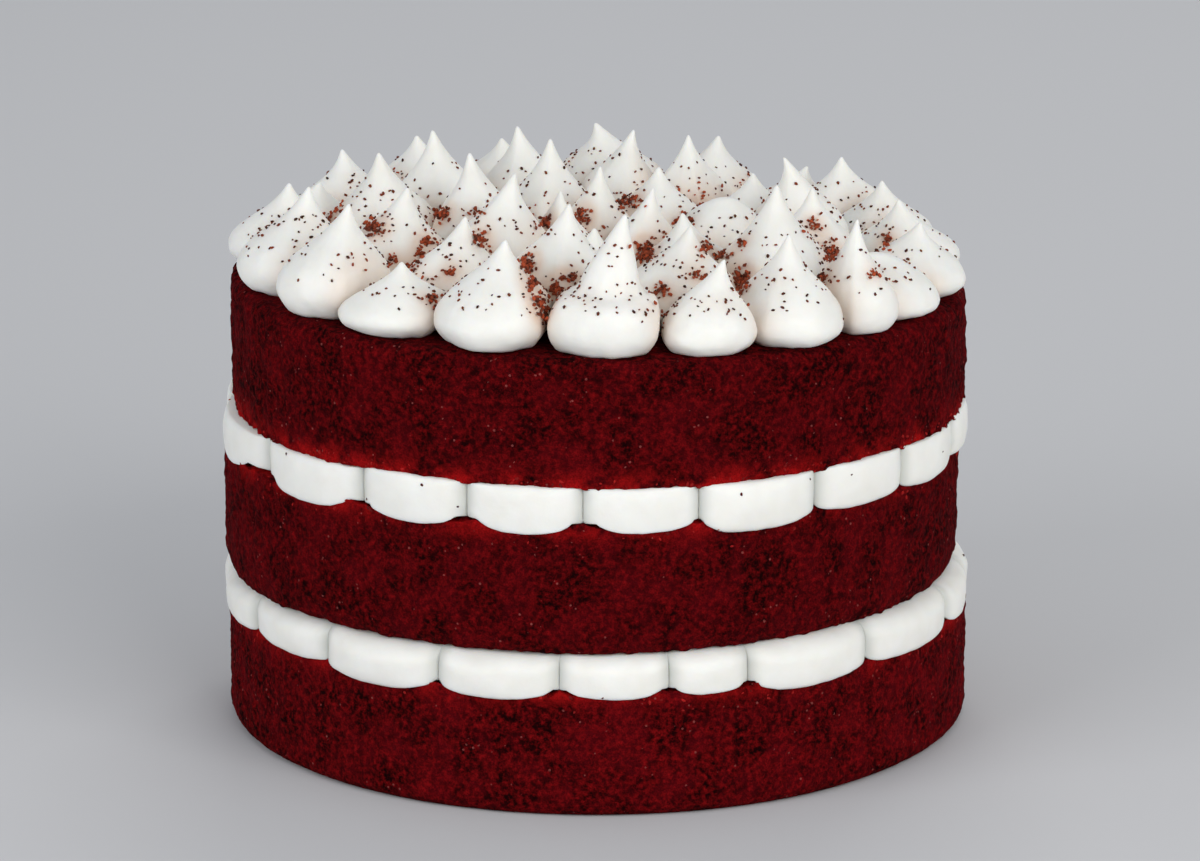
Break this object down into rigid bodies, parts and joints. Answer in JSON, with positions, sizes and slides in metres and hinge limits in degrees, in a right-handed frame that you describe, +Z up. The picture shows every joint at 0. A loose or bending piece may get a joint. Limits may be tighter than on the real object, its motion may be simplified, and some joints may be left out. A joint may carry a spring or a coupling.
{
  "type": "red velvet cake",
  "caption": "Round three-layer red velvet cake with piped cream fillings between the sponges and a top covered in pointed piped cream kisses dusted with cake crumbs.",
  "frame": {"origin": "middle of the cake's flat base, on the surface that it stands on", "axes": "+Z up through the layers; -Y is the front, the side the picture looks at; +X to the right as seen from the front"},
  "size_m": [0.2038, 0.2036, 0.1565],
  "materials": {
    "sponge": "matte",
    "filling": "satin",
    "frosting": "satin"
  },
  "bodies": {
    "root": {"sponge_bottom": "sponge", "sponge_middle": "sponge", "sponge_top": "sponge", "filling_lower": "filling", "filling_upper": "filling", "kiss_rim_01": "frosting", "kiss_rim_02": "frosting", "kiss_rim_03": "frosting", "kiss_rim_04": "frosting", "kiss_rim_05": "frosting", "kiss_rim_06": "frosting", "kiss_rim_07": "frosting", "kiss_rim_08": "frosting", "kiss_rim_09": "frosting", "kiss_rim_10": "frosting", "kiss_rim_11": "frosting", "kiss_rim_12": "frosting", "kiss_rim_13": "frosting", "kiss_rim_14": "frosting", "kiss_rim_15": "frosting", "kiss_rim_16": "frosting", "kiss_rim_17": "frosting", "kiss_rim_18": "frosting", "kiss_rim_19": "frosting", "kiss_rim_20": "frosting", "kiss_rim_21": "frosting", "kiss_second_01": "frosting", "kiss_second_02": "frosting", "kiss_second_03": "frosting", "kiss_second_04": "frosting", "kiss_second_05": "frosting", "kiss_second_06": "frosting", "kiss_second_07": "frosting", "kiss_second_08": "frosting", "kiss_second_09": "frosting", "kiss_second_10": "frosting", "kiss_second_11": "frosting", "kiss_second_12": "frosting", "kiss_second_13": "frosting", "kiss_third_01": "frosting", "kiss_third_02": "frosting", "kiss_third_03": "frosting", "kiss_third_04": "frosting", "kiss_third_05": "frosting", "kiss_third_06": "frosting", "kiss_third_07": "frosting", "kiss_middle_01": "frosting", "kiss_middle_02": "frosting", "kiss_middle_03": "frosting"}
  },
  "joints": []
}
